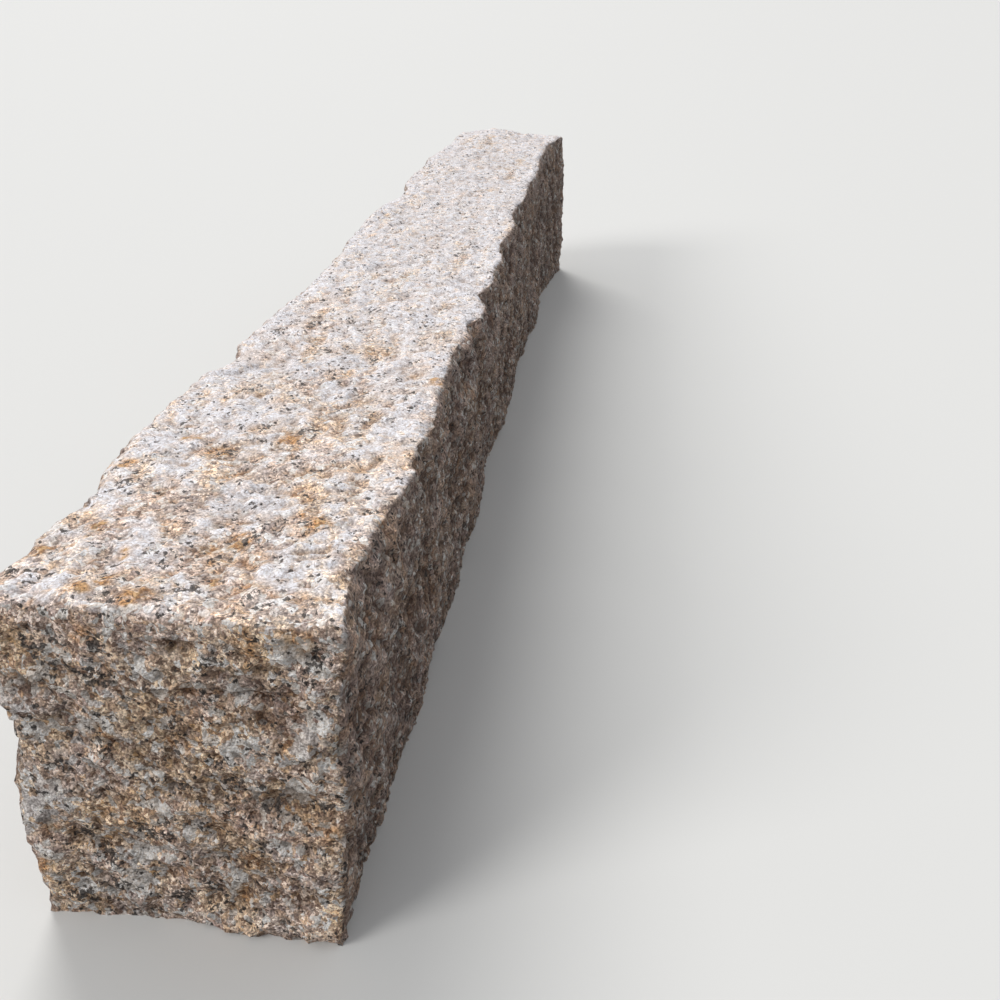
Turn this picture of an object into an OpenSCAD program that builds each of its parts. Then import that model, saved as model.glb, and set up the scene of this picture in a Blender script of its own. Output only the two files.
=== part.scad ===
// Rough-split granite kerb stone, one solid block.
// The long axis runs along Y with the near end at -Y. The stone lies on its bed, at Z = 0.
// The origin is the middle of the stone's outer box, on the bed.

/* [Stone] */
// Length from end to end
stone_length = 1000; // [500:10:1500]
// Width that the section is set out from, over the middle of the stone
stone_width = 130; // [100:5:200]
// Height from the bed to the top face
stone_height = 160; // [120:5:260]

/* [Split sides] */
// Rise and fall of the long sides over their broad waves
side_wave = 2.5; // [0:0.5:5]
// Length of one broad wave on a side
side_wave_run = 90; // [60:5:160]
// Depth of the hollows that flakes leave on the long sides
side_scar = 6; // [0:0.5:8]
// Spacing of those hollows along the stone
side_scar_run = 58; // [40:2:120]
// Spacing of those hollows up the side
side_scar_rise = 64; // [30:2:100]
// Depth of the smaller hollows between and within them
side_chip = 3.5; // [0:0.5:5]
// Spacing of the smaller hollows
side_chip_run = 42; // [34:2:80]
// How far the pitched strip below a top arris slopes back to it
pitch_back = 5; // [0:0.5:8]
// How far down the side that strip reaches
pitch_drop = 42; // [20:1:60]
// Distance from an arris over which a side's relief grows to its full depth
relief_run = 26; // [10:1:40]
// How far down a side a bite out of its top arris reaches
bite_drop = 42; // [20:2:80]

/* [Split ends] */
// Rise and fall of the two ends
end_wave = 3; // [0:0.5:6]
// Size of one wave on an end
end_wave_run = 46; // [30:2:90]
// Depth of the hollows that flakes leave on the ends
end_scar = 4.5; // [0:0.5:6]
// Spacing of those hollows over an end
end_scar_run = 40; // [30:2:80]
// How far an end steps back below a ledge
ledge_step = 4; // [0:0.5:8]
// Height over which the end comes forward again below a ledge
ledge_fade = 34; // [15:1:60]

/* [Bed] */
// Depth dressed off the under side to make the flat bed
bed_trim = 3; // [1:0.5:6]

/* [Dressed top] */
// Rise and fall of the top over its broad waves
top_wave = 2; // [0:0.25:4]
// Length of one wave of the top along the stone
top_wave_run = 84; // [50:2:160]
// Width of one wave of the top across the stone
top_wave_span = 38; // [25:1:80]
// Depth of the hollows that the tool has left in the top
top_scar = 2.5; // [0:0.25:4]
// Spacing of those hollows along the stone
top_scar_run = 42; // [34:2:90]
// Spacing of those hollows across the stone
top_scar_span = 32; // [26:1:60]
// Height of the swellings that the top keeps at its ends
top_swell = 4; // [0:0.5:8]

/* [Arrises] */
// Least width of the broken strip along an arris
arris_break = 2; // [1:0.25:4]
// Extra width of that strip where the arris has crumbled
arris_crumble = 6; // [0:0.5:10]
// Length of one crumbled stretch
arris_run = 34; // [20:1:80]
// Width of the large spall on the top arris at the near end
spall_width = 6; // [0:0.5:16]
// Depth of that spall down the side
spall_depth = 24; // [0:0.5:36]

/* [Net of points] */
// Cells of the net across the width, between the two rims
cells_across = 11; // [8:1:12]
// Cells of the net along the length, between the two rims
cells_along = 80; // [50:1:80]
// Cells of the net up the height, between the two rims
cells_up = 14; // [10:1:15]
// Distance of the first line of points from an arris
rim_near = 3; // [2:0.25:4]
// Distance of the second line of points from an arris
rim_far = 8; // [6:0.5:10]

/* [Hidden] */
stone_colour = [0.76, 0.66, 0.54];

// The box that the stone is hewn from
block = [stone_width, stone_length, stone_height];

// Where the top arrises and the feet of the sides run: share of the length, then share of the width
right_arris_shares = [
    [0, 0.55], [0.04, 0.54], [0.1, 0.535], [0.15, 0.512], [0.33, 0.5], [0.46, 0.478],
    [0.55, 0.458], [0.67, 0.438], [0.81, 0.424], [0.93, 0.426], [0.96, 0.45], [1, 0.49]
];
left_arris_shares = [
    [0, -0.54], [0.06, -0.545], [0.12, -0.562], [0.16, -0.576], [0.22, -0.555], [0.27, -0.525],
    [0.43, -0.515], [0.56, -0.52], [0.73, -0.54], [0.87, -0.51], [0.96, -0.49], [1, -0.465]
];
right_foot_shares = [[0, 0.415], [0.1, 0.41], [0.35, 0.43], [0.6, 0.4], [0.85, 0.4], [1, 0.5]];
left_foot_shares = [[0, -0.59], [0.15, -0.6], [0.4, -0.565], [0.65, -0.58], [1, -0.545]];

// How much of the pitched strip's slope each side has along its length
right_pitch_shares = [[0, 0], [0.05, 0.2], [0.12, 0.5], [0.2, 0.9], [0.45, 1], [0.7, 0.8], [1, 1]];
left_pitch_shares = [[0, 0.3], [0.1, 0.9], [0.3, 0.5], [0.5, 1], [0.75, 0.6], [1, 0.8]];

// Single flakes off the sides: place along and up, reach along and up, and depth as a share of the width
right_flake_shares = [
    [0, 0.74, 0.05, 0.24, 0.036], [0, 0.33, 0.02, 0.05, 0.016], [0.27, 0.5, 0.06, 0.3, 0.04],
    [0.53, 0.34, 0.05, 0.26, 0.035], [0.8, 0.6, 0.07, 0.3, 0.04]
];
left_flake_shares = [
    [0, 0.61, 0.025, 0.12, 0.036], [0.2, 0.45, 0.06, 0.3, 0.04], [0.5, 0.6, 0.05, 0.26, 0.035],
    [0.72, 0.35, 0.06, 0.25, 0.04], [0.94, 0.5, 0.04, 0.22, 0.03]
];

// Bites out of the top arrises: place and half length as shares of the length, depth as a share of the width
right_bite_shares = [
    [0.088, 0.014, 0.024], [0.137, 0.015, 0.02], [0.245, 0.046, 0.044], [0.312, 0.016, 0.044],
    [0.384, 0.03, 0.052], [0.434, 0.015, 0.026], [0.506, 0.036, 0.042], [0.607, 0.044, 0.04],
    [0.72, 0.04, 0.03], [0.87, 0.055, 0.026]
];
left_bite_shares = [
    [0.032, 0.012, 0.03], [0.078, 0.024, 0.048], [0.242, 0.022, 0.048], [0.39, 0.04, 0.018],
    [0.478, 0.032, 0.024], [0.666, 0.05, 0.075], [0.79, 0.03, 0.028], [0.93, 0.04, 0.022]
];

// Swellings of the top: place across and along, reach across and along, height as a share of the swell
top_swell_shares = [
    [0.3, 1, 0.3, 0.07, 1], [1, 0, 0.22, 0.08, 0.8], [0.05, 0, 0.16, 0.05, 0.7],
    [0.5, 0.03, 0.4, 0.03, -0.5], [0.8, 0.97, 0.25, 0.05, -0.4], [0.4, 0.45, 0.5, 0.16, -0.4]
];

// Ledges on the near and far ends: height, middle and half width as shares, then the share of the step
near_ledge_shares = [
    [0.95, 0.2, 0.16, 0.5], [0.8, 0.6, 0.5, 0.7], [0.5, 0.86, 0.34, 1], [0.34, 0.3, 0.34, 0.6]
];
far_ledge_shares = [[0.7, 0.34, 0.42, 0.8], [0.42, 0.7, 0.36, 1]];

// The spall: its middle and half length as shares of the length
spall_place_share = 0.044;
spall_half_share = 0.048;

// Share of its depth that the shallowest hollow has, and how far a hollow reaches in spacings
scar_least_share = 0.25;
scar_reach = 0.95;
scar_stray = 0.32;

// Share of its relief that a side keeps at its arrises, and how far a row of small hollows slants as it rises
arris_relief_share = 0.25;
chip_slant_share = 0.5;

// Random numbers, the same at every build, and the steps that spread a cell's place among them
dice_count = 1999;
dice_seed = 41;
dice = rands(0, 1, dice_count, dice_seed);
dice_steps = [73, 331, 617];
second_wave = 2.3;
half = 1 / 2;

function mix(a, b, t) = a + (b - a) * t;
function ease(t) = t * t * (3 - 2 * t);
function bump(t) = abs(t) < 1 ? ease(1 - abs(t)) : 0;
function scoop(t) = max(0, 1 - t * t);
function places(i, j, k) = [i, j, k] * dice_steps % dice_count;
function die(i, j, k) = dice[(places(i, j, k) + dice_count) % dice_count];

// Smooth random rise and fall from -1 to 1 over cells of one unit; k picks the pattern
function noise(a, b, k) =
    let (i = floor(a), j = floor(b), s = ease(a - i), t = ease(b - j))
    2 * mix(mix(die(i, j, k), die(i + 1, j, k), s), mix(die(i, j + 1, k), die(i + 1, j + 1, k), s), t) - 1;
function waves(a, b, k) = noise(a, b, k) + half * noise(second_wave * a, second_wave * b, k + 1);

// Depth, from 0 to 1, of the overlapping hollows that flakes leave, one to a cell, with ridges between
function scars(a, b, k) =
    max(0, max([for (i = [floor(a) - 1 : floor(a) + 1], j = [floor(b) - 1 : floor(b) + 1])
        let (ca = i + half + scar_stray * (2 * die(i, j, k) - 1),
             cb = j + half + scar_stray * (2 * die(i, j, k + 1) - 1),
             r = norm([a - ca, b - cb]) / scar_reach)
        mix(scar_least_share, 1, die(i, j, k + 2)) * (1 - r * r)]));

// How much of its relief a side has: little along its arrises, where the arris lines and bites rule
function ramp(t) = ease(min(1, max(0, t)));
function relief(y, z) =
    mix(arris_relief_share, 1, ramp((stone_height - z) / relief_run) * ramp(y / relief_run)
        * ramp((stone_length - y) / relief_run));

// Depth of the single flakes at y along a side and z up it
function flakes(table, y, z) =
    stone_width * max([for (f = table)
        f[4] * scoop(norm([(y / stone_length - f[0]) / f[2], (z / stone_height - f[1]) / f[3]]))]);

// Depth of the bites out of a top arris, at y along it and the given distance below it
function bites(table, y, drop) =
    stone_width * max([for (b = table)
        b[2] * max(0, 1 - pow((y / stone_length - b[0]) / b[1], 2) - pow(drop / bite_drop, 2))]);

// How far a side stands out below its pitched strip, which slopes back from there to the top arris
function swelling(pitch, y, z) =
    pitch_back * lookup(y / stone_length, pitch)
    * (z / stone_height - ease(max(0, 1 - (stone_height - z) / pitch_drop)));

// How far the waves and hollows of a side cut into it
function rough(y, z, k) =
    side_wave * waves(y / side_wave_run, z / side_wave_run, k)
    + side_scar * (scars(y / side_scar_run, z / side_scar_rise, k + 2) - scar_least_share)
    + side_chip * (scars((y + chip_slant_share * z) / side_chip_run, z / side_chip_run, k + 5)
        - scar_least_share);

// Where a long side stands at y and z: on the line from foot to arris, out by its swelling and in by its
// relief and by the deeper of its bites and flakes, with side 1 on the right and -1 on the left
function side_x(side, arris, foot, pitch, bite, flake, y, z, k) =
    stone_width * mix(lookup(y / stone_length, foot), lookup(y / stone_length, arris), z / stone_height)
    + side * (swelling(pitch, y, z) - relief(y, z) * rough(y, z, k)
        - max(bites(bite, y, stone_height - z), flakes(flake, y, z)));
function right_x(y, z) = side_x(1, right_arris_shares, right_foot_shares, right_pitch_shares,
    right_bite_shares, right_flake_shares, y, z, 3);
function left_x(y, z) = side_x(-1, left_arris_shares, left_foot_shares, left_pitch_shares,
    left_bite_shares, left_flake_shares, y, z, 11);

// How far an end is cut back at x and z: waves, hollows and the steps below its ledges
function ledges(table, x, z) =
    ledge_step * max([for (e = table)
        let (below = e[0] * stone_height + end_wave * noise(x / end_wave_run, e[0], 21) - z)
        below < 0 ? 0 : e[3] * bump((x / stone_width - e[1]) / e[2]) * exp(-below / ledge_fade)]);
function end_cut(table, x, z, k) =
    end_wave * waves(x / end_wave_run, z / end_wave_run, k)
    + end_scar * scars(x / end_scar_run, z / end_scar_run, k + 2)
    + ledges(table, x, z);

// Height of the top at x and y: broad waves that run along the stone, its hollows and its swellings
function total(list) = list * [for (one = list) 1];
function top_z(x, y) =
    stone_height + top_wave * waves(x / top_wave_span, y / top_wave_run, 31)
    - top_scar * (scars(x / top_scar_span, y / top_scar_run, 71) - scar_least_share)
    + top_swell * total([for (s = top_swell_shares)
        s[4] * bump((x / stone_width - s[0]) / s[2]) * bump((y / stone_length - s[1]) / s[3])]);

// Widths of the broken strip on the two faces that meet at an arris, at the distance t along it
function crumble(t, k) =
    arris_break + arris_crumble * pow(max(0, noise(t / arris_run, k, 41)), 2);
function spall(y) = scoop((y / stone_length - spall_place_share) / spall_half_share);
function arris_cut(a, a_far, b, b_far, t) =
    let (k = a * 4 + a_far * 2 + b_far + b, plain = crumble(t, k))
    a == 0 && b == 2 && a_far == 1 && b_far == 1
        ? [plain + spall_width * spall(t), plain + spall_depth * spall(t)]
        : [plain, plain];

// A point of the block, moved in where it lies outside the broken strip of one arris
function inward(p, axis, far) = far == 1 ? block[axis] - p[axis] : p[axis];
function moved(p, axis, far, step) =
    [for (n = [0:2]) n == axis ? p[n] + (far == 1 ? -step : step) : p[n]];
function broken_at(p, a, a_far, b, b_far) =
    let (cut = arris_cut(a, a_far, b, b_far, p[3 - a - b]),
         out = 1 - inward(p, a, a_far) / cut[0] - inward(p, b, b_far) / cut[1])
    out <= 0 ? p : moved(moved(p, a, a_far, out * cut[0] / 2), b, b_far, out * cut[1] / 2);
arrises = [for (pair = [[0, 1], [0, 2], [1, 2]], a_far = [0, 1], b_far = [0, 1])
    [pair[0], a_far, pair[1], b_far]];
function broken(p, n = 0) =
    n == len(arrises) ? p
        : broken(broken_at(p, arrises[n][0], arrises[n][1], arrises[n][2], arrises[n][3]), n + 1);

// A point of the block, carried to where it lies on the hewn stone
function hewn(p) =
    let (x = p[0], y = p[1], z = p[2])
    [mix(left_x(y, z), right_x(y, z), x / stone_width),
     mix(end_cut(near_ledge_shares, x, z, 51), stone_length - end_cut(far_ledge_shares, x, z, 61),
         y / stone_length),
     mix(-bed_trim, top_z(x, y), z / stone_height)];

// Lines of points from one arris to the other, close together near both
function lines(size, cells) =
    concat([0, rim_near],
        [for (i = [0:cells]) mix(rim_far, size - rim_far, i / cells)],
        [size - rim_near, size]);
xs = lines(stone_width, cells_across);
ys = lines(stone_length, cells_along);
zs = lines(stone_height, cells_up);
nx = len(xs) - 1;
ny = len(ys) - 1;
nz = len(zs) - 1;

// One ring of points runs around the section: along the bed, up the right side, back over the top and
// down the left side
ring = 2 * (nx + nz);
function ring_place(r) =
    r < nx ? [r, 0]
        : r < nx + nz ? [nx, r - nx]
        : r < 2 * nx + nz ? [2 * nx + nz - r, nz]
        : [0, ring - r];
function ring_index(i, k) =
    k == 0 ? i : i == nx ? nx + k : k == nz ? 2 * nx + nz - i : ring - k;

side_points = [for (j = [0:ny], r = [0:ring - 1])
    let (c = ring_place(r)) [xs[c[0]], ys[j], zs[c[1]]]];
end_points = [for (y = [0, stone_length], k = [1:nz - 1], i = [1:nx - 1]) [xs[i], y, zs[k]]];
hewn_points = [for (p = concat(side_points, end_points)) hewn(broken(p))];

// The number of a point on the near end (far = 0) or the far end (far = 1)
function end_index(far, i, k) =
    i == 0 || i == nx || k == 0 || k == nz
        ? far * ny * ring + ring_index(i, k)
        : (ny + 1) * ring + (far * (nz - 1) + k - 1) * (nx - 1) + i - 1;

// Two triangles for each cell of the net, with the diagonal turned from cell to cell
function two(a, b, c, d, turn) = turn % 2 == 0 ? [[a, b, c], [a, c, d]] : [[a, b, d], [b, c, d]];
side_faces = [for (j = [0:ny - 1], r = [0:ring - 1])
    let (s = (r + 1) % ring)
    each two(j * ring + r, j * ring + s, (j + 1) * ring + s, (j + 1) * ring + r, j + r)];
end_faces = [for (far = [0, 1], k = [0:nz - 1], i = [0:nx - 1])
    let (a = end_index(far, i, k), b = end_index(far, i + 1, k),
         c = end_index(far, i + 1, k + 1), d = end_index(far, i, k + 1))
    each far == 0 ? two(a, d, c, b, i + k) : two(a, b, c, d, i + k)];

// The outer box's middle over what lies above the bed, which goes to the origin
above = [for (p = hewn_points) if (p[2] >= 0) p];
low = [for (n = [0:1]) min([for (p = above) p[n]])];
high = [for (n = [0:1]) max([for (p = above) p[n]])];

module hewn_block() {
    polyhedron(points = hewn_points, faces = concat(side_faces, end_faces));
}

// What is dressed away under the bed
module below_bed() {
    translate([-stone_width, -stone_width, -stone_height])
        cube([2 * stone_width, stone_length + 2 * stone_width, stone_height]);
}

module kerb_stone() {
    color(stone_colour)
        translate([-(low[0] + high[0]) / 2, -(low[1] + high[1]) / 2, 0])
            difference() {
                hewn_block();
                below_bed();
            }
}

kerb_stone();
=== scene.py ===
# %% [markdown]
# # A rough-split granite kerb stone
# The real thing is one block of yellow granite, a metre long, split from a larger slab and dressed
# by hand: a pick has levelled the top, the sides and ends are as they broke, and the arrises are
# chipped. Its main form is already in the CAD block, which comes in as a fixed frame. This lesson
# lays a fine net over that block, works the tool marks and the broken grain into the net, and then
# makes the granite itself out of procedural textures.

# %% Load the frame
import math

import bmesh
import bpy
from mathutils import Matrix, Vector, noise
from mathutils.bvhtree import BVHTree


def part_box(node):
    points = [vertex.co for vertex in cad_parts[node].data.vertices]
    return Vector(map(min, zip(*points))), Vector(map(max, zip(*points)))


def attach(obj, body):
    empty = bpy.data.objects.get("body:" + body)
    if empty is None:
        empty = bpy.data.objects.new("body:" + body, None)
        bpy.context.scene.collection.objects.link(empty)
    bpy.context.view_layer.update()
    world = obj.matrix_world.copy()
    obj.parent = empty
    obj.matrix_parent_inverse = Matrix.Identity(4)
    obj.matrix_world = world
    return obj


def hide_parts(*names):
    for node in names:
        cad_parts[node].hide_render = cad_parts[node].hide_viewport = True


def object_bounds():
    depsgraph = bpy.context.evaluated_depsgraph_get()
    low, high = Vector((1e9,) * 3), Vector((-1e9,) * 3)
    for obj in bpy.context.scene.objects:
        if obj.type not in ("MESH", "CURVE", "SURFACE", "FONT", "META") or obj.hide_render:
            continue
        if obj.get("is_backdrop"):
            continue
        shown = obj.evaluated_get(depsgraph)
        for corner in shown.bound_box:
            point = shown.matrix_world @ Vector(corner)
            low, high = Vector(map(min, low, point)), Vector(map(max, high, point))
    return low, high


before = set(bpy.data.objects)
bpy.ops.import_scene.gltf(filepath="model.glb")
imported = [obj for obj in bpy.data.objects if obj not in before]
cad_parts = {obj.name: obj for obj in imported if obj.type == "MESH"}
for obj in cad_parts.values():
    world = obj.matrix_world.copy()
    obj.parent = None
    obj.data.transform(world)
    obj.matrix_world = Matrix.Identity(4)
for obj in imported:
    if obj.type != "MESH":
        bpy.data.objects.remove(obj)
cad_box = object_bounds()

MM = 0.001
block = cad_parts["kerb_stone"]
low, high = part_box("kerb_stone")
print("block from", [round(v / MM, 1) for v in low], "to", [round(v / MM, 1) for v in high], "mm")

# %% [markdown]
# ## The camera
# The camera stands a little over the near end and to the right of the stone, looking down its
# length. Its place, angles and focal length were worked out from the arrises of the stone, so the
# render has the same strong perspective as the photo. A camera could be aimed at a target with a
# constraint instead, but plain numbers are easier to check, and nothing has to be followed here.

# %% Camera
eye = Vector((160.8, -766.9, 364.0)) * MM
pitch, yaw, roll = math.radians(28.88), math.radians(7.68), math.radians(0.23)
focal_share = 1.022

camera_data = bpy.data.cameras.new("camera")
camera_data.sensor_width = 36
camera_data.lens = camera_data.sensor_width * focal_share
camera = bpy.data.objects.new("camera", camera_data)
bpy.context.collection.objects.link(camera)
camera.matrix_world = (
    Matrix.Translation(eye)
    @ Matrix.Rotation(yaw, 4, "Z")
    @ Matrix.Rotation(math.radians(90) - pitch, 4, "X")
    @ Matrix.Rotation(-roll, 4, "Z")
)
bpy.context.scene.camera = camera
print("lens", round(camera_data.lens, 2), "mm")

# %% [markdown]
# ## A fine net
# Broken stone needs a dense mesh, because each chip is only a few millimetres wide. A voxel remesh
# would make cells of one size everywhere. Here a cube is cut by loops instead, one direction at a
# time, which gives a regular net whose cells can be smaller near the end that the camera sees
# closest. The bottom face is taken off first: the bed is flat, so it needs no cells. The two layers
# of point colours are also made first, because a new layer loses hold of the points found before it.

# %% Cut a cube into a net
cells = (66, 390, 78)

stone = bmesh.new()
finish_layer = stone.verts.layers.float_color.new("finish")
mineral_layer = stone.verts.layers.float_color.new("mineral")
bmesh.ops.create_cube(stone, size=1)
bottom = [f for f in stone.faces if f.normal.z < -0.5]
bmesh.ops.delete(stone, geom=bottom, context="FACES_ONLY")


def along(edge, axis):
    a, b = edge.verts
    return abs(a.co[axis] - b.co[axis]) > 1e-6


for axis in (1, 0, 2):
    edges = [e for e in stone.edges if along(e, axis)]
    bmesh.ops.subdivide_edges(stone, edges=edges, cuts=cells[axis] - 1, use_grid_fill=True)
print("net of", len(stone.faces), "cells")

# %% [markdown]
# ## Stretching the net over the block
# Every point of the net has three counts: how many cells it lies from the left side, the near end
# and the bed. The block is measured once with rays, from both sides, both ends and above, and each
# point is then set between what was hit, at its own share of the way. A Shrinkwrap modifier would
# be shorter to set up, but it bunches the cells together along the arrises.

# %% Measure the block with rays
hewn = BVHTree.FromObject(block, bpy.context.evaluated_depsgraph_get())
size = high - low
clear = 9 * MM
near_share = 0.56


def share(axis, count):
    """Where a count lies between one side and the other. Along the stone the near cells are shorter."""
    t = count / cells[axis]
    return near_share * t + (1 - near_share) * t * t if axis == 1 else t


def hit(axis, sign, place):
    """Where a ray against the given axis first meets the block, kept clear of the arrises."""
    start = [min(max(place[n], low[n] + clear), high[n] - clear) for n in range(3)]
    start[axis] = (high[axis] + clear) if sign > 0 else (low[axis] - clear)
    ray = Vector((0, 0, 0))
    ray[axis] = -sign
    found = hewn.ray_cast(Vector(start), ray)[0]
    return found[axis] if found else (high[axis] if sign > 0 else low[axis])


def at(i, j, k):
    return [low[n] + size[n] * share(n, c) for n, c in enumerate((i, j, k))]


nx, ny, nz = cells
left = {(j, k): hit(0, -1, at(0, j, k)) for j in range(ny + 1) for k in range(nz + 1)}
right = {(j, k): hit(0, 1, at(0, j, k)) for j in range(ny + 1) for k in range(nz + 1)}
print("sides lie from", round(min(left.values()) / MM, 1), "to", round(max(right.values()) / MM, 1), "mm")

# %% Measure the top and the ends


def mix(a, b, t):
    return a + (b - a) * t


def across(i, j, k):
    return mix(left[j, k], right[j, k], share(0, i))


def inside(value, j, k):
    return min(max(value, left[j, k] + clear), right[j, k] - clear)


top, near, far = {}, {}, {}
for i in range(nx + 1):
    for j in range(ny + 1):
        place = at(i, j, nz)
        place[0] = inside(across(i, j, nz), j, nz)
        top[i, j] = hit(2, 1, place)
    for k in range(nz + 1):
        place = at(i, 0, k)
        place[0] = inside(across(i, 0, k), 0, k)
        near[i, k] = hit(1, -1, place)
        place[0] = inside(across(i, ny, k), ny, k)
        far[i, k] = hit(1, 1, place)
print("top lies from", round(min(top.values()) / MM, 1), "to", round(max(top.values()) / MM, 1), "mm")

# %% Set the net on the block
counts = {}
for v in stone.verts:
    i, j, k = (round((v.co[n] + 0.5) * cells[n]) for n in range(3))
    counts[v] = (i, j, k)
    v.co = (across(i, j, k), mix(near[i, k], far[i, k], share(1, j)), top[i, j] * k / nz)
stone.normal_update()

# %% [markdown]
# ## Arrises
# The rays stop short of the arrises, so the net has sharp ones there. The block's own arrises are
# broken, so each point close to one is moved most of the way to the nearest place on the block. A
# little smoothing then takes out the block's flat triangles, which are a centimetre wide and would
# show as facets. The points right on an arris are smoothed once only, or it would look worn round.

# %% Seat the arrises and smooth
reach = 11 * MM
seat_share = 0.7
crisp = 4 * MM


def to_arris(v):
    """Distance from a point to the nearest other face of the block, the bed among them."""
    i, j, k = counts[v]
    gaps = sorted([
        min(i, nx - i) * size.x / nx,
        max(0.0, min(v.co.y - near[i, k], far[i, k] - v.co.y)),
        min(k, nz - k) * size.z / nz,
    ])
    return gaps[1]


edge_gap = {v: to_arris(v) for v in stone.verts}
above_bed = [v for v in stone.verts if counts[v][2] > 0]
for v in above_bed:
    if edge_gap[v] < reach:
        v.co = v.co.lerp(hewn.find_nearest(v.co)[0], seat_share)
for step in range(5):
    some = above_bed if step == 0 else [v for v in above_bed if edge_gap[v] > crisp]
    bmesh.ops.smooth_vert(
        stone, verts=some, factor=0.5, use_axis_x=True, use_axis_y=True, use_axis_z=True
    )
stone.normal_update()
print("arris points seated:", sum(g < reach for g in edge_gap.values()))

# %% [markdown]
# ## Marks of the pick, and broken grain
# A pick leaves bowls that overlap, with sharp ridges between them. Voronoi noise gives the four
# nearest of a field of random points, and the deepest of four bowls set on them makes just that.
# The same trick with tilted planes in place of bowls gives the hackly facets of split granite.
# Sculpting by hand would look as good, but it could not be repeated from a script.

# %% Bowls and facets


def chance(point, salt):
    return 0.5 + 0.5 * noise.cell(point * 7.31 + Vector((salt, salt, salt)))


def bowls(place, radius, least):
    """Depth from 0 to 1 of overlapping bowls, one around each random point."""
    gaps, points = noise.voronoi(place)
    depth = 0.0
    for gap, point in zip(gaps, points):
        depth = max(depth, mix(least, 1, chance(point, 3)) * (1 - (gap / radius) ** 2))
    return depth


def facets(place):
    """Height from about -1 to 1 of flat, randomly tilted facets, one around each random point."""
    gaps, points = noise.voronoi(place)
    tilt = noise.cell_vector(points[0] * 5.3) * 2 - Vector((1, 1, 1))
    return (place - points[0]).dot(tilt) * 2


def broken(place, run, octaves):
    return noise.fractal(place / run, 0.9, 2.1, octaves)


def stretch(place, x, y, z):
    return Vector((place.x / x, place.y / y, place.z / z))


# %% [markdown]
# ## Depth of the relief at each point
# The top, the sides and the ends were worked in different ways, so each has its own recipe, and the
# face that a point belongs to follows from its counts. Points near an arris take a blend, so that
# nothing tears there. The depths are in millimetres and go inwards, because a tool only takes away.

# %% Recipes for the three kinds of face


def ease(t):
    t = min(1.0, max(0.0, t))
    return t * t * (3 - 2 * t)


def sway(p, run, reach):
    """A smooth shift of a place, which bends rows and rings out of true."""
    ways = (Vector((salt, 0, 0)) for salt in (0, 19, 41))
    return p + Vector([noise.noise(p / run + way) for way in ways]) * reach


def top_relief(p):
    flat = sway(Vector((p.x, p.y, 0)), 38, 6)
    picks = bowls(stretch(flat, 16, 22, 1), 0.8, 0.1)
    small = bowls(stretch(flat, 7, 10, 1) + Vector((31, 7, 3)), 0.8, 0.1)
    rough = facets(flat / 8) * 0.6 + facets(flat / 4) * 0.3 + broken(p, 6, 3) * 0.4
    return 2.3 * picks + 0.9 * small + rough - 1.1


def side_relief(p):
    flat = sway(p, 45, 9)
    flat.y += 0.5 * flat.z
    flakes = bowls(stretch(flat, 26, 20, 30), 0.85, 0.2)
    small = bowls(stretch(flat, 12, 8, 15) + Vector((3, 17, 5)), 0.85, 0.1)
    rough = facets(flat / 9) * 1.0 + facets(flat / 4.5) * 0.5 + broken(p, 6, 3) * 0.6
    return 2.4 * flakes + 1.6 * small + rough - 1.7


# Ledges on the near end: height, middle and half width in millimetres, then how deep they undercut
near_ledges = [(129, 18, 46, 2.6), (81, 52, 26, 3.2), (60, -22, 22, 2.2), (151, 24, 22, 1.6)]


def under_ledge(p):
    deepest = 0.0
    for height, place, half, depth in near_ledges:
        below = height + 3.5 * noise.noise(Vector((p.x / 13, height, 0))) - p.z
        if below > 0:
            across_it = ease(1.3 - abs(p.x - place) / half)
            deepest = max(deepest, depth * across_it * ease(below / 2) * math.exp(-below / 13))
    return deepest


def end_relief(p):
    flat = sway(p, 40, 7)
    flakes = bowls(stretch(flat, 25, 40, 15) + Vector((11, 3, 8)), 0.85, 0.2)
    small = bowls(stretch(flat, 11, 14, 7) + Vector((3, 23, 5)), 0.85, 0.1)
    rough = facets(flat / 8) * 1.0 + facets(flat / 4) * 0.5 + broken(p, 5, 3) * 0.7
    lip = under_ledge(p) if p.y < 0 else 0.0
    return 2.2 * flakes + 1.6 * small + rough + lip - 1.8


# %% Carve the relief into the net
# How far from an arris the chips and the knocked rim reach, in millimetres
chip_reach = 6
rim_reach = 2.5

facts = {}
moves = {}
for v in stone.verts:
    p = v.co / MM
    n = v.normal
    weights = [max(0.0, n.z) ** 2, n.x ** 2, n.y ** 2]
    total = sum(weights) or 1.0
    depth = 0.0
    for weight, recipe in zip(weights, (top_relief, side_relief, end_relief)):
        if weight / total > 0.02:
            depth += recipe(p) * weight / total
    at_edge = 1 - ease(edge_gap[v] / MM / chip_reach)
    chips = 2.6 * at_edge * max(0.0, bowls(sway(p, 12, 4) / 11 + Vector((40, 2, 7)), 0.7, -0.9))
    depth = mix(depth, 0.35 * depth, at_edge) + chips
    moves[v] = v.co - n * depth * MM
    rim = 1 - ease(edge_gap[v] / MM / rim_reach) if counts[v][2] > nz / 2 else 0.0
    facts[v] = (weights[0] / total, weights[2] / total, rim, chips)
for v, place in moves.items():
    v.co = place
    v.co.z = max(v.co.z, 0.2 * MM) if counts[v][2] > 0 else 0
stone.normal_update()
lengths = [e.calc_length() / MM for e in stone.edges]
print("cells run from", round(min(lengths), 2), "to", round(max(lengths), 2), "mm")
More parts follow.
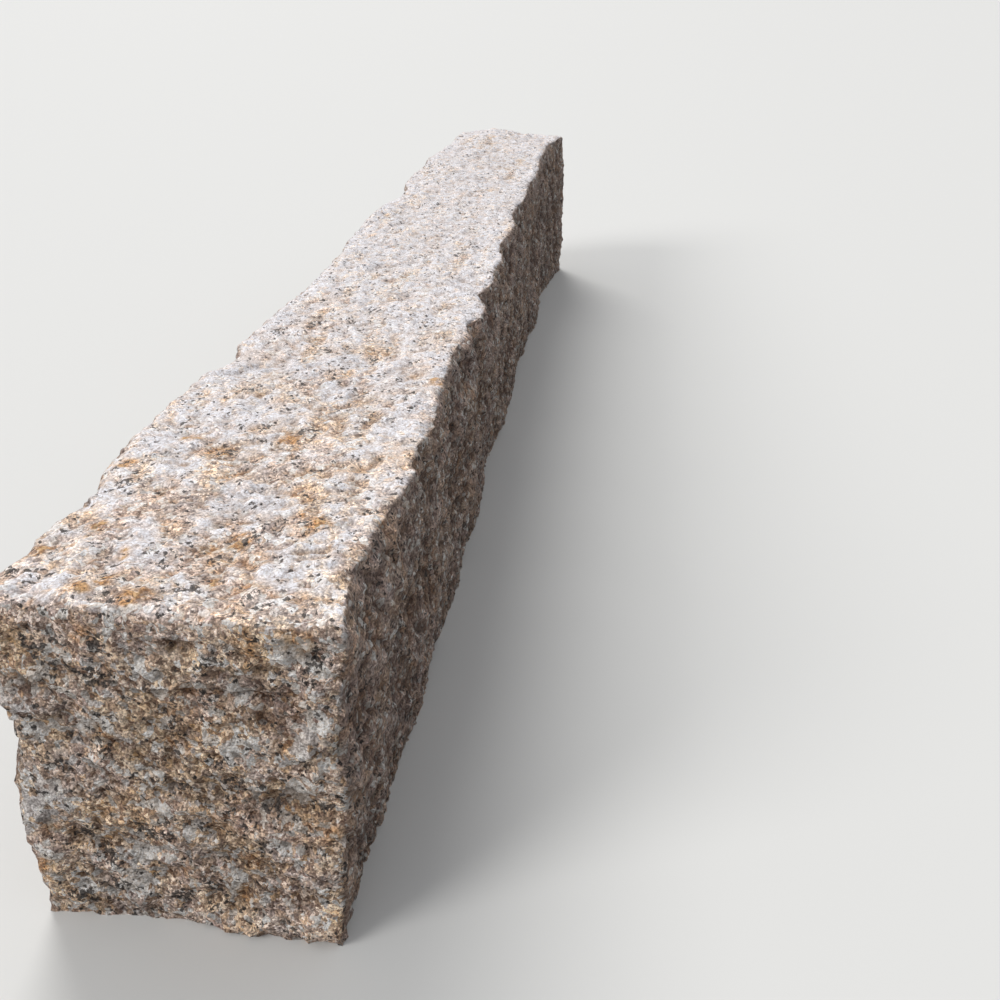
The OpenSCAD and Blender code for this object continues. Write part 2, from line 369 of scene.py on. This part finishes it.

# %% [markdown]
# ## Hollows and ridges
# Dirt gathers in hollows, which are also painted darker as shade, and ridges are knocked pale, so
# the finish has to know which is which. The net is smoothed a long way, each point's depth below
# the smooth surface is noted, and the net is put back as it was. Once after a few steps shows the
# small hollows, once after many the broad ones.

# %% Measure how deep each point lies
carved = {v: v.co.copy() for v in stone.verts}
depths = []
for steps in (16, 150):
    for step in range(steps):
        bmesh.ops.smooth_vert(
            stone, verts=above_bed, factor=0.5, use_axis_x=True, use_axis_y=True, use_axis_z=True
        )
    depths.append({v: (v.co - carved[v]).dot(v.normal) / MM for v in carved})
for v, place in carved.items():
    v.co = place
fine_depth, broad_depth = depths
for name, table in (("fine", fine_depth), ("broad", broad_depth)):
    ranked = sorted(table.values())
    some = [round(ranked[int(len(ranked) * t)], 2) for t in (0.05, 0.25, 0.5, 0.75, 0.95)]
    print(name, "depths in mm:", some)

# %% [markdown]
# ## The bed
# The stone lies on its bed, so a flat face closes the net underneath. It is inset by one narrow
# strip first, so that the shading of the chipped foot doesn't spread over the flat. An edge where
# two cells meet at a steep angle is then marked sharp, which keeps the arrises and chips crisp. A
# modifier could do the same, but marks in the mesh go wherever the piece goes.

# %% Close the bed and mark sharp edges
sharp_angle = math.radians(52)

foot = [e for e in stone.edges if e.is_boundary]
bed = bmesh.ops.edgeloop_fill(stone, edges=foot)["faces"]
bmesh.ops.inset_region(stone, faces=bed, thickness=2 * MM, use_even_offset=False)
bmesh.ops.recalc_face_normals(stone, faces=stone.faces)
for f in stone.faces:
    f.smooth = f.normal.z > -0.99 or f.calc_center_median().z > 0.1 * MM
for e in stone.edges:
    e.smooth = e.calc_face_angle(0.0) < sharp_angle
print("sharp edges:", sum(not e.smooth for e in stone.edges))
print("bed closed:", not any(e.is_boundary for e in stone.edges))

# %% [markdown]
# ## What the finish needs to know
# Textures can't tell a ridge from a hollow, so each point carries two colours that say it. In the
# first, red is how crushed and pale the surface is, green how rust-stained, blue how much dirt and
# painted shade it holds and alpha how much it belongs to a long side, which sets the painted shade
# of the sides. In the second, red is cream feldspar, green grey quartz and blue black mica. Patches
# are set here, some at places read off the real stone and some at random, and the fine grain that
# breaks up their edges comes later, in the nodes.

# %% Patches with places of their own, in millimetres: two coordinates and a radius
top_white = [
    (-18, -459, 8), (-46, -365, 10), (11, -410, 9), (-50, -419, 9), (23, -415, 7), (38, -463, 8),
    (-35, -388, 8), (-17, -447, 5), (8, -254, 12), (-10, -271, 9), (-41, -271, 9), (-20, -325, 12),
    (39, -180, 13), (-37, -331, 8), (12, -295, 9), (58, -335, 9), (-44, -486, 8),
]
top_tan = [
    (-26, -417, 7), (6, -452, 6), (-23, -370, 8), (-53, -438, 6), (-12, -441, 6), (31, -474, 6),
    (-3, -392, 7), (40, -381, 7), (28, -403, 6), (-32, -151, 9), (-6, -243, 7), (7, -271, 8),
    (22, -234, 9), (50, -213, 9), (-25, -280, 7), (-31, -301, 7), (-46, -254, 8), (31, -305, 7),
    (48, -262, 8), (-11, -311, 6), (-32, -202, 8), (58, -371, 8),
]
top_rust = [
    (15, -443, 4.5), (42, -429, 4.5), (-7, -488, 5), (15, -472, 3.5), (-22, -479, 4), (-29, -487, 4),
    (-56, -462, 4), (-42, -444, 3), (-57, -388, 4), (-39, -358, 4), (7, -351, 6), (33, -423, 2.5),
    (-24, -461, 3), (-22, -371, 5), (63, -274, 5),
]
top_black = [
    (36, -429, 2), (40, -435, 2), (19, -441, 2), (-48, -407, 3.5), (-59, -479, 3), (23, -443, 1.5),
    (10, -345, 2.5), (-9, -238, 3), (21, -245, 3), (1, -167, 3), (-9, -187, 3), (21, -289, 2.5),
    (6, -479, 1.6), (9, -479, 1.5), (12, -480, 1.5), (15, -480, 1.3), (10, -475, 1.2), (10, -471, 1.2),
    (27, -295, 2.5), (-10, -340, 3), (-16, -371, 3), (-46, -212, 3), (49, -325, 2.5),
]
end_cream = [
    (-37, 139, 4), (-43, 130, 3.5), (-2, 136, 3.5), (-33, 106, 3.5), (-25, 110, 3.5), (-1, 128, 4),
    (50, 147, 6), (28, 129, 3.5), (24, 100, 4), (61, 139, 3), (58, 117, 4), (30, 106, 4), (-54, 104, 4),
    (-61, 39, 4), (-22, 39, 5), (-27, 22, 6), (-50, 18, 4), (46, 82, 6), (17, 29, 4), (-10, 70, 3),
]
end_quartz = [(-58, 118, 6), (-60, 64, 8), (-53, 73, 6), (52, 108, 5), (-25, 36, 5), (6, 62, 4)]
end_black = [
    (-44, 144, 3), (-34, 147, 3), (-18, 147, 3), (-33, 135, 2.5), (-24, 130, 4), (-27, 97, 3),
    (19, 143, 2.5), (60, 144, 3.5), (23, 83, 3), (52, 97, 2.5), (2, 80, 3), (-19, 56, 4), (-9, 54, 2.5),
    (-43, 50, 3.5), (-36, 37, 3.5), (-34, 21, 4), (6, 25, 3), (-9, 17, 3), (-52, 13, 4), (35, 69, 2.5),
    (56, 72, 2.5),
]
end_rust = [
    (-24, 151, 4), (-26, 101, 5), (3, 102, 3.5), (36, 152, 4), (37, 146, 3), (54, 153, 5), (45, 105, 2),
    (19, 22, 4), (-3, 32, 4), (-16, 35, 3), (58, 60, 5), (25, 42, 5), (-57, 52, 4), (-64, 31, 5),
]
end_warm = [(20, 68, 14), (48, 66, 12), (-20, 62, 12), (12, 118, 13), (44, 120, 10), (-50, 130, 9)]


# A patch has faded out at this many times its radius, and its outline is bent by this many mm
fade = 1.7
bent_by = 3.2


def patch(table, a, b):
    """How much of a mark the table puts at a place, from 0 to 1, its outline bent out of round."""
    strongest = 0.0
    ways = [noise.noise(Vector((a / 5, b / 5, salt))) for salt in (3, 9)]
    a, b = a + bent_by * ways[0], b + bent_by * ways[1]
    for x, y, radius in table:
        away = math.hypot(a - x, b - y)
        if away < fade * radius:
            strongest = max(strongest, ease(fade - away / radius))
    return strongest


# %% Finish of the top and of the near end
# Share of the length, from the near end, over which the stain of the weather thins out
weathered = 0.45


def spread(p, run, salt, least, most):
    """Random patches about the given number of millimetres wide, from 0 to 1."""
    value = noise.fractal(p / run + Vector((salt, salt, salt)), 0.8, 2.0, 3)
    return ease((value - least) / (most - least))


def top_finish(p, hollow, along_it):
    """How crushed and how stained the top is at a place, and its own minerals."""
    streak = noise.noise(Vector((p.x / 10 + noise.noise(p / 40), p.y / 75, 4)))
    white = patch(top_white, p.x, p.y)
    weather = 1 - ease(along_it / weathered)
    tan = (0.6 + 0.1 * weather) * spread(p, 14, 80, 0.05, 0.45) * (1 - white)
    tan = max(patch(top_tan, p.x, p.y), tan)
    crushed = 1.08 - 0.5 * weather + 0.85 * streak - 0.6 * (hollow - 0.35) + 0.5 * white - 0.4 * tan
    # The strip along the near arris is less crushed than the rest
    crushed -= 0.3 * ease((-478 - p.y) / 12)
    in_hollow = ease(2.4 * hollow - 1.0) * (1 - white)
    stain = (0.22 + 0.13 * weather) * tan + (0.15 + 0.2 * weather) * in_hollow
    spots = (0.15 + 0.4 * weather) * spread(p, 5, 50, 0.38, 0.6)
    spots = max(0.85 * patch(top_rust, p.x, p.y), spots)
    own = (0.0, 0.0, patch(top_black, p.x, p.y))
    return max(0.25, crushed - 0.4 * spots), max(stain, spots), own


def end_finish(p):
    """How stained the near end is at a place, and its own minerals."""
    stain = max(0.6 * patch(end_rust, p.x, p.z), 0.25 * patch(end_warm, p.x, p.z))
    own = (patch(end_cream, p.x, p.z), patch(end_quartz, p.x, p.z), patch(end_black, p.x, p.z))
    return stain, own


# %% Store the finish
for v in stone.verts:
    if v not in facts:
        # A point of the bed
        v[finish_layer] = (0.05, 0.2, 0.2, 1)
        v[mineral_layer] = (0.3, 0.3, 0.2, 1)
        continue
    topness, endness, rim, chips = facts[v]
    topness = ease((topness - 0.3) / 0.4)
    endness = min(endness, 1 - topness)
    p = v.co / MM
    hollow = min(1.0, max(0.0, 0.4 + 0.3 * fine_depth[v] + 0.16 * max(-1.0, broad_depth[v])))
    hollow = mix(0.4, hollow, ease(edge_gap[v] / MM / 7))
    along_it = share(1, counts[v][1])
    cream = 0.8 * spread(p, 6, 11, 0.12, 0.4)
    quartz = 0.35 * spread(p, 8, 23, 0.15, 0.45)
    black = 0.6 * spread(p, 6.5, 37, 0.2, 0.5)
    rust = 0.35 * spread(p, 13, 59, 0.05, 0.45)
    crushed = 0.6 * rim * (1 - ease(chips)) * ease(0.7 + 2.0 * noise.noise(p / 9)) + 0.12 * (1 - hollow)
    if topness > 0.3:
        pale, stain, own = top_finish(p, hollow, along_it)
        crushed, rust = mix(crushed, pale, topness), mix(rust, stain, topness)
        cream, quartz, black = (max(a * 0.6, b) for a, b in zip((cream, quartz, black), own))
    if endness > 0.3 and p.y < 0:
        stain, own = end_finish(p)
        rust = max(0.4 * rust, stain)
        cream, quartz, black = (max(0.7 * a, b) for a, b in zip((cream, quartz, black), own))
    sideness = max(0.0, 1 - topness - endness)
    # Fewer pale crystals on the long sides, part of the painted shade that darkens them
    cream, quartz = cream * (1 - 0.6 * sideness), quartz * (1 - 0.6 * sideness)
    # The dirt and painted shade in hollows are weaker on the top, most of all far along it, and stronger
    # on the long sides
    less_dirt_and_shade_on_top = (0.45 + 0.15 * ease(along_it / weathered)) * topness
    dirt_and_shade = hollow * (1 - less_dirt_and_shade_on_top + 0.5 * sideness - 0.15 * endness)
    v[finish_layer] = [min(1, max(0, c)) for c in (crushed, rust, dirt_and_shade, sideness)]
    v[mineral_layer] = [min(1, max(0, c)) for c in (cream, quartz, black)] + [1]

# %% Make the piece from the net
mesh = bpy.data.meshes.new("granite_kerb")
stone.to_mesh(mesh)
stone.free()
piece = bpy.data.objects.new("granite_kerb", mesh)
bpy.context.collection.objects.link(piece)
triangles = sum(len(f.vertices) - 2 for f in mesh.polygons)
print("granite_kerb:", triangles, "triangles")

# %% [markdown]
# ## Granite
# Granite is feldspar, quartz and mica grown into each other. Two Voronoi textures make crystals
# of two sizes here, and each crystal takes its mineral and the tilt of its little plane from its own
# random colour. On a polished face the outlines would be clean. This stone is broken, so the
# textures are bent by noise first, and a strong fine noise gives grit. A scanned picture would be
# quicker, but it has seams and a size of its own. All of this reads object coordinates in
# millimetres, so it has its real size, and no face needs unwrapping.

# %% Helpers for the nodes
granite = bpy.data.materials.new("granite")
granite.use_nodes = True
tree = granite.node_tree
shader = tree.nodes["Principled BSDF"]


def linear(*rgb):
    """A colour as it looks on screen, from 0 to 255, made linear."""
    return tuple((c / 255) ** 2.2 for c in rgb) + (1,)


def add(kind, links=None, **settings):
    """A new node, each of its inputs linked to a socket or set to a value."""
    made = tree.nodes.new(kind)
    for name, value in settings.items():
        setattr(made, name, value)
    for socket, value in (links or {}).items():
        target = made.inputs[socket]
        if isinstance(value, bpy.types.NodeSocket):
            tree.links.new(value, target)
        else:
            target.default_value = value
    return made


def maths(operation, a, b=0.0, clamp=False):
    return add("ShaderNodeMath", {0: a, 1: b}, operation=operation, use_clamp=clamp).outputs[0]


def blend(amount, a, b, how="MIX"):
    made = add("ShaderNodeMix", data_type="RGBA", blend_type=how)
    for socket, value in ((made.inputs[0], amount), (made.inputs[6], a), (made.inputs[7], b)):
        if isinstance(value, bpy.types.NodeSocket):
            tree.links.new(value, socket)
        else:
            socket.default_value = value
    return made.outputs[2]


def span(value, a, b, c=0.0, d=1.0):
    """The value made to run from c to d while it goes from a to b, and held beyond that."""
    made = add("ShaderNodeMapRange", {0: value, 1: a, 2: b, 3: c, 4: d}, clamp=True)
    return made.outputs[0]


def ramp(value, stops):
    """Colours that run into each other, each at its place from 0 to 1."""
    made = add("ShaderNodeValToRGB", {0: value})
    made.color_ramp.interpolation = "LINEAR"
    while len(made.color_ramp.elements) < len(stops):
        made.color_ramp.elements.new(1)
    for element, (place, colour) in zip(made.color_ramp.elements, stops):
        element.position = place
        element.color = colour
    return made.outputs[0]


# %% Coordinates in millimetres, bent a little
coordinates = add("ShaderNodeTexCoord").outputs["Object"]
mm = add("ShaderNodeVectorMath", {0: coordinates, 3: 1000.0}, operation="SCALE").outputs[0]


def cloud(grain, detail, offset=0.0):
    """A noise whose patches are about the given number of millimetres wide."""
    source = mm
    if offset:
        source = add("ShaderNodeVectorMath", {0: mm, 1: (offset, offset, offset)}).outputs[0]
    return add("ShaderNodeTexNoise", {"Vector": source, "Scale": 1 / grain, "Detail": detail})


grit_noise = cloud(1.0, 4)
rough_noise = cloud(4.2, 3, 44)
grit, rough = grit_noise.outputs[0], rough_noise.outputs[0]


def bend(place, noise_node, far_off):
    """A place moved by noise, so that what is drawn there has ragged outlines."""
    way = add("ShaderNodeVectorMath", {0: noise_node.outputs["Color"], 3: far_off}, operation="SCALE")
    return add("ShaderNodeVectorMath", {0: place, 1: way.outputs[0]}).outputs[0]


bent = bend(bend(mm, rough_noise, 3.2), grit_noise, 1.4)


def vector(operation, a, b, c=(0, 0, 0)):
    return add("ShaderNodeVectorMath", {0: a, 1: b, 2: c}, operation=operation).outputs


def crystals(grain, offset=0.0, source=bent):
    """Three random numbers and the tilted plane of the crystal at each place, for one size of grain."""
    place = vector("ADD", source, (offset, offset, offset))[0]
    made = add("ShaderNodeTexVoronoi", {"Vector": place, "Scale": 1 / grain})
    dice = add("ShaderNodeSeparateColor", {0: made.outputs["Color"]}).outputs
    tilt = vector("MULTIPLY_ADD", made.outputs["Color"], (2, 2, 2), (-1, -1, -1))[0]
    arm = vector("SUBTRACT", place, made.outputs["Position"])[0]
    return dice, vector("DOT_PRODUCT", arm, tilt)["Value"]


def grey(value):
    return add("ShaderNodeCombineColor", {0: value, 1: value, 2: value}).outputs[0]


def picked(number, mark, least):
    """Whether a crystal is of one mineral: its random number with the mark added is over the least."""
    return span(maths("ADD", number, mark), least, least + 0.04)


# %% Crystals
marks = add("ShaderNodeAttribute", attribute_type="GEOMETRY", attribute_name="finish")
minerals = add("ShaderNodeAttribute", attribute_type="GEOMETRY", attribute_name="mineral")
# The blue of the finish is dirt and painted shade in the hollows
crushed, stain, dirt_and_shade = add("ShaderNodeSeparateColor", {0: marks.outputs["Color"]}).outputs[:3]
cream, quartz, black = add("ShaderNodeSeparateColor", {0: minerals.outputs["Color"]}).outputs[:3]

big, big_plane = crystals(2.7)
small, small_plane = crystals(1.25, 17)

# Feldspar, from brown through tan to nearly white
colour = ramp(
    big[0],
    [
        (0.00, linear(150, 126, 108)),
        (0.18, linear(204, 180, 154)),
        (0.36, linear(178, 160, 148)),
        (0.52, linear(224, 204, 178)),
        (0.68, linear(164, 150, 144)),
        (0.84, linear(234, 222, 208)),
        (1.00, linear(198, 168, 130)),
    ],
)
# Pale and brown crystals of the smaller size
colour = blend(span(small[0], 0.74, 0.78, 0.0, 0.75), colour, linear(244, 232, 218))
colour = blend(span(small[1], 0.75, 0.79, 0.0, 0.75), colour, linear(108, 82, 66))
# Painted light and shade in the grit, lighter on its peaks and darker in its pits, as the same noise
# drives the bump; lighter and darker places at random, and a hue that turns a little over the stone
wide = span(cloud(15, 2, 71).outputs[0], 0.36, 0.64, 0.85, 1.35)
grit_shade_and_tone = maths("MULTIPLY", span(grit, 0.39, 0.61, 0.58, 1.55), wide)
colour = blend(1.0, colour, grey(grit_shade_and_tone), "MULTIPLY")
hue = blend(span(cloud(24, 1, 93).outputs[0], 0.42, 0.58), linear(244, 236, 236), linear(255, 243, 226))
colour = blend(1.0, colour, hue, "MULTIPLY")
# Painted shade on the long sides, which are darker and browner
side_shade = blend(1.0, linear(144, 122, 114), grey(grit_shade_and_tone), "MULTIPLY")
colour = blend(maths("MULTIPLY", marks.outputs["Alpha"], 0.55), colour, side_shade)
# Crystals of glassy quartz and of milky feldspar, in the patches that the points carry
glassy = blend(span(grit, 0.4, 0.6), linear(172, 164, 160), linear(238, 231, 226))
colour = blend(picked(big[1], maths("MULTIPLY", quartz, 0.8), 0.97), colour, glassy)
milky = blend(span(grit, 0.38, 0.58), linear(222, 213, 202), linear(254, 252, 249))
colour = blend(picked(big[2], maths("MULTIPLY", cream, 0.85), 0.9), colour, milky)

# %% [markdown]
# ## Weather and the tool
# Over the crystals lie the marks that the point colours place: crushed white on ridges and along
# the dressed top, tan and then rust where iron has washed out, and brown dust and painted shade in
# the hollows. Thin dark lines run where a noise passes its middle value; they stand for cracks and
# for painted shadows under small chips. Mica comes last, because the tool doesn't whiten it, in
# small specks that crowd together in clusters.

# %% Crushed marks, rust, and dust with painted shade
white = maths("MULTIPLY", crushed, span(rough, 0.36, 0.6, 0.5, 1.2), True)
pale = blend(span(grit, 0.37, 0.6), linear(197, 190, 189), linear(236, 236, 242))
colour = blend(white, colour, pale)
rusty = maths("MULTIPLY", stain, span(rough, 0.4, 0.56, 0.4, 1.3), True)
iron = blend(span(rusty, 0.5, 0.95), linear(242, 226, 210), linear(222, 182, 134))
colour = blend(span(rusty, 0.0, 0.5), colour, iron, "MULTIPLY")
# Dust and painted shade: the hollows are painted darker, and places that hold little are painted a touch
# lighter
dust_and_shade = blend(span(dirt_and_shade, 0.1, 1.0), (1.15, 1.15, 1.15, 1), (0.42, 0.38, 0.36, 1))
colour = blend(1.0, colour, dust_and_shade, "MULTIPLY")

# %% Cracks with painted shadows under chips, and mica
from_middle = maths("ABSOLUTE", maths("SUBTRACT", cloud(9, 3, 120).outputs[0], 0.5))
# Thin dark lines that stand for cracks and for painted shadows under small chips
crack_and_chip_shadow = maths("MULTIPLY", span(from_middle, 0.0, 0.014, 0.6, 0.0), span(rough, 0.48, 0.54))
colour = blend(crack_and_chip_shadow, colour, linear(112, 82, 62))
mica = crystals(1.4, 5, bend(mm, grit_noise, 2.0))[0][0]
speck = maths("ADD", mica, maths("MULTIPLY", black, 0.6))
dark = span(speck, 0.972, 0.985, 0.0, 0.9)
colour = blend(dark, colour, blend(span(grit, 0.4, 0.6), linear(40, 38, 40), linear(98, 90, 84)))
tree.links.new(colour, shader.inputs["Base Color"])

# %% [markdown]
# ## Sheen and grain
# Cleaved feldspar and quartz glint, and crushed stone is dull, so the roughness follows the
# crystals. What is finer than the net is bump: grit of a millimetre, small breaks, and the tilted
# planes of the crystals. Real displacement would show in the outline too, but it needs far more
# cells than the net has.

# %% Roughness and bump
gloss = span(big[1], 0.75, 1.0, 0.8, 0.45)
tree.links.new(maths("MAXIMUM", gloss, crushed), shader.inputs["Roughness"])

height = maths("ADD", maths("MULTIPLY", rough, 3.0), maths("MULTIPLY", grit, 0.5))
planes = maths("ADD", maths("MULTIPLY", big_plane, 0.5), maths("MULTIPLY", small_plane, 0.4))
height = maths("MULTIPLY", maths("ADD", height, planes), span(crushed, 0.0, 0.8, 1.0, 0.5))
bump = add("ShaderNodeBump", {"Height": height, "Strength": 1.0, "Distance": MM})
tree.links.new(bump.outputs[0], shader.inputs["Normal"])
mesh.materials.append(granite)
print("granite has", len(tree.nodes), "nodes")

# %% Put the stone in the frame
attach(piece, "root")
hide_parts("kerb_stone")

# %% [markdown]
# ## Floor and light
# The stone is shown on a plain pale floor, as on an overcast day. The sky is brighter overhead, so
# the top is bright and the ends and sides fall off. Two suns with wide angles give the light a
# direction, one from behind and one from the near left, without the falloff of an area lamp. The
# floor is darker for the light than for the camera, because what it throws back would wash out the
# sides. Suns and sky together are set so that a colour renders about as it is written.

# %% Floor
floor_mesh = bpy.data.meshes.new("floor")
floor_net = bmesh.new()
bmesh.ops.create_grid(floor_net, x_segments=1, y_segments=1, size=30)
floor_net.to_mesh(floor_mesh)
floor_net.free()
floor = bpy.data.objects.new("floor", floor_mesh)
bpy.context.collection.objects.link(floor)
paper = bpy.data.materials.new("paper")
paper.use_nodes = True
paper_shader = paper.node_tree.nodes["Principled BSDF"]
paper_shader.inputs["Roughness"].default_value = 0.9
seen_from = paper.node_tree.nodes.new("ShaderNodeLightPath")
tint = paper.node_tree.nodes.new("ShaderNodeMix")
tint.data_type = "RGBA"
tint.inputs[6].default_value = linear(122, 120, 118)
tint.inputs[7].default_value = linear(212, 212, 210)
paper.node_tree.links.new(seen_from.outputs["Is Camera Ray"], tint.inputs[0])
paper.node_tree.links.new(tint.outputs[2], paper_shader.inputs["Base Color"])
floor_mesh.materials.append(paper)
floor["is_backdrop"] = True

# %% Sky and sun
world = bpy.data.worlds.new("world")
bpy.context.scene.world = world
world.use_nodes = True
sky_tree = world.node_tree
sky = sky_tree.nodes["Background"]
sky.inputs["Color"].default_value = linear(246, 248, 252)
direction = sky_tree.nodes.new("ShaderNodeTexCoord")
parts = sky_tree.nodes.new("ShaderNodeSeparateXYZ")
rise = sky_tree.nodes.new("ShaderNodeMapRange")
# The sky's strength at the horizon, and straight overhead
rise.inputs[3].default_value = 0.15
rise.inputs[4].default_value = 0.75
sky_tree.links.new(direction.outputs["Generated"], parts.inputs[0])
sky_tree.links.new(parts.outputs["Z"], rise.inputs[0])
sky_tree.links.new(rise.outputs[0], sky.inputs["Strength"])
backdrop = sky_tree.nodes.new("ShaderNodeBackground")
backdrop.inputs["Color"].default_value = linear(222, 224, 226)
path = sky_tree.nodes.new("ShaderNodeLightPath")
either = sky_tree.nodes.new("ShaderNodeMixShader")
sky_tree.links.new(path.outputs["Is Camera Ray"], either.inputs[0])
sky_tree.links.new(sky.outputs[0], either.inputs[1])
sky_tree.links.new(backdrop.outputs[0], either.inputs[2])
sky_tree.links.new(either.outputs[0], sky_tree.nodes["World Output"].inputs[0])

# Name, strength, angle it seems to fill in degrees, and the way it shines
suns = [
    ("soft_sun", 2.0, 30, (0.4, -0.85, -0.85)),
    ("side_sun", 1.5, 25, (0.7, 0.55, -0.55)),
]
for name, strength, angle, way in suns:
    sun_data = bpy.data.lights.new(name, "SUN")
    sun_data.energy = strength
    sun_data.angle = math.radians(angle)
    sun_data.color = (1.0, 0.985, 0.965)
    sun = bpy.data.objects.new(name, sun_data)
    bpy.context.collection.objects.link(sun)
    sun.rotation_euler = Vector(way).to_track_quat("-Z", "Y").to_euler()
print("lamps:", len(suns))

bpy.context.scene.view_settings.view_transform = "Standard"

# %% Sizes, and the end
new_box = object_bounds()
sizes = {"cad": [list(c) for c in cad_box], "scene": [list(c) for c in new_box]}
for name, box in sizes.items():
    print(name, [[round(v / MM, 1) for v in corner] for corner in box])
